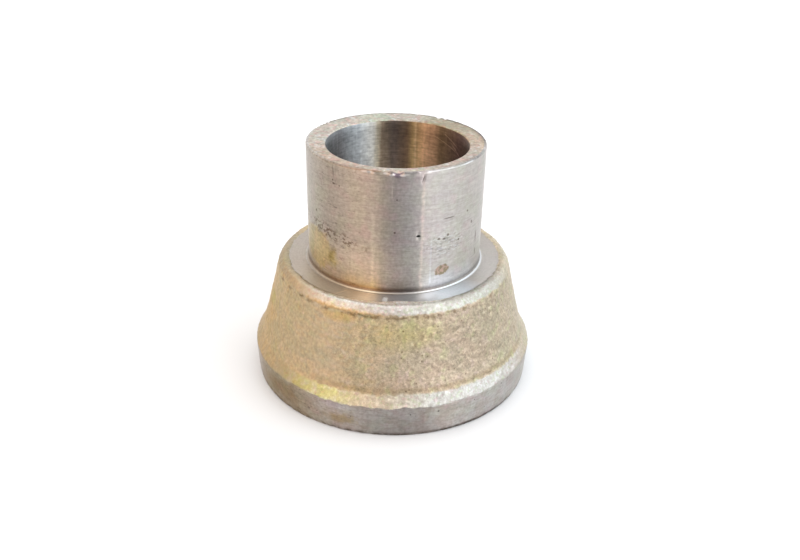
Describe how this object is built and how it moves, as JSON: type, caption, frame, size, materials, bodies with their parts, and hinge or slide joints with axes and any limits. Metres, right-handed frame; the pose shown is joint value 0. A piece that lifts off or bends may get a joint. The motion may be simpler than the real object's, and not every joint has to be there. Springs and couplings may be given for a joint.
{
  "type": "concentric reducer",
  "caption": "Forged steel pipe reducer: plain turned spigot above a conical body with a thicker collar, open through its axis, with a socket in the large end.",
  "frame": {"origin": "middle of the socket end's face, on the spigot's axis, where the fitting stands on its base", "axes": "+Z along the spigot's axis from the socket end to the spigot end; the bore is machined 1.1 mm off that axis towards -Y and 0.2 mm towards +X"},
  "size_m": [0.0444, 0.0444, 0.0375],
  "materials": {
    "forged_steel": "turned spigot, shoulder, bore and collar band; pitted as-forged skin between them; thin straw-coloured passivated surface"
  },
  "bodies": {
    "root": {"reducer_body": "forged_steel"}
  },
  "joints": []
}
